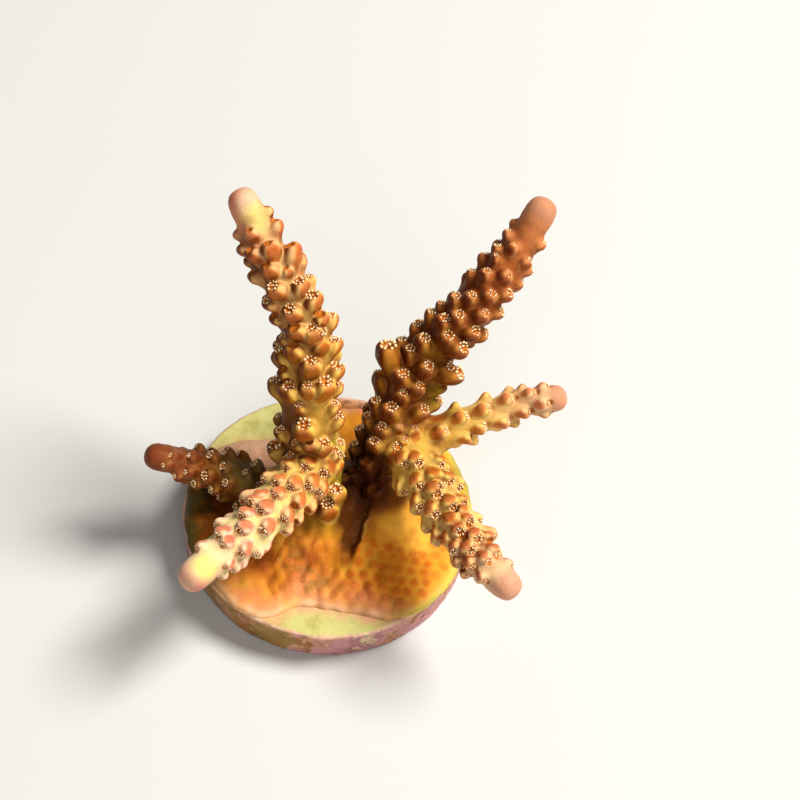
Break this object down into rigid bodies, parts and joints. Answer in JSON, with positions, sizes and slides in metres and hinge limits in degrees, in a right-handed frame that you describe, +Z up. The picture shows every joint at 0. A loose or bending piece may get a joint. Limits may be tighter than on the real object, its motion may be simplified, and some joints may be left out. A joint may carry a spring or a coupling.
{
  "type": "staghorn coral fragment on a frag disc",
  "caption": "Small branching stony coral fragment, grown over a round ceramic disc that rests flat on a surface.",
  "frame": {"origin": "centre of the frag disc's flat underside, on the surface it rests on", "axes": "+Z up, square to the disc's underside; -Y towards the front, where the bare crescent of disc shows; +X to the right"},
  "size_m": [0.034, 0.029, 0.0333],
  "materials": {
    "disc_ceramic": "matte",
    "plate_coral": "satin",
    "stem_coral": "satin",
    "branch_coral": "satin"
  },
  "bodies": {
    "root": {"frag_disc": "disc_ceramic", "encrusting_plate": "plate_coral", "left_stem": "stem_coral", "right_stem": "stem_coral", "back_left_branch": "branch_coral", "back_right_branch": "branch_coral", "right_branch": "branch_coral", "front_right_branch": "branch_coral", "front_left_branch": "branch_coral", "left_branch": "branch_coral"}
  },
  "joints": []
}
